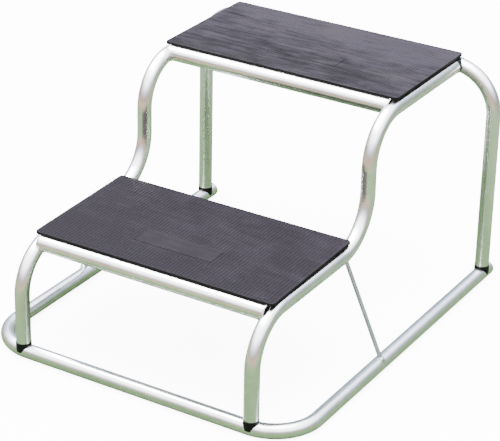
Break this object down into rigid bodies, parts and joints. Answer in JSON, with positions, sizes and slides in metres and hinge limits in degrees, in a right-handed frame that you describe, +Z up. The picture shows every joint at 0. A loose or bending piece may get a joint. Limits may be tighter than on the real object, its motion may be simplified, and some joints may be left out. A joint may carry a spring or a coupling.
{
  "type": "mounting block",
  "caption": "Free-standing two-step mounting block: bent galvanised tube frame with a floor hoop, rear legs and flat ribbed rubber treads.",
  "frame": {"origin": "on the floor, under the middle of the overall width and depth", "axes": "+Z up; +Y from the front (lower step) to the back (upper step); +X to the right of someone facing the steps"},
  "size_m": [0.6764, 0.7797, 0.4622],
  "materials": {
    "galvanised_tube": "bright galvanised, satin sheen",
    "galvanised_rod": "galvanised",
    "galvanised_flat": "galvanised",
    "tread_rubber": "matt moulded rubber with fine ribs",
    "black_plastic": "matt",
    "zinc_fixings": "zinc plated"
  },
  "bodies": {
    "root": {"base_frame": "galvanised_tube", "side_frame_left": "galvanised_tube", "side_frame_right": "galvanised_tube", "rear_frame": "galvanised_tube", "lower_front_cross_tube": "galvanised_tube", "upper_front_cross_tube": "galvanised_tube", "lower_rear_cross_tube": "galvanised_tube", "tie_rod_left": "galvanised_rod", "tie_rod_right": "galvanised_rod", "lower_strap_front": "galvanised_flat", "lower_strap_middle": "galvanised_flat", "lower_strap_rear": "galvanised_flat", "upper_strap_front": "galvanised_flat", "upper_strap_middle": "galvanised_flat", "upper_strap_rear": "galvanised_flat", "lower_tread": "tread_rubber", "upper_tread": "tread_rubber", "front_left_leg_saddle": "black_plastic", "front_right_leg_saddle": "black_plastic", "rear_left_leg_saddle": "black_plastic", "rear_right_leg_saddle": "black_plastic", "left_run_saddle": "black_plastic", "right_run_saddle": "black_plastic", "base_end_cap_left": "black_plastic", "base_end_cap_right": "black_plastic", "leg_bolts": "zinc_fixings", "leg_nuts": "zinc_fixings", "run_bolts": "zinc_fixings", "run_nuts": "zinc_fixings", "run_washers": "zinc_fixings", "lower_screw_washers": "zinc_fixings", "upper_screw_washers": "zinc_fixings", "lower_tread_screws": "zinc_fixings", "upper_tread_screws": "zinc_fixings"}
  },
  "joints": []
}
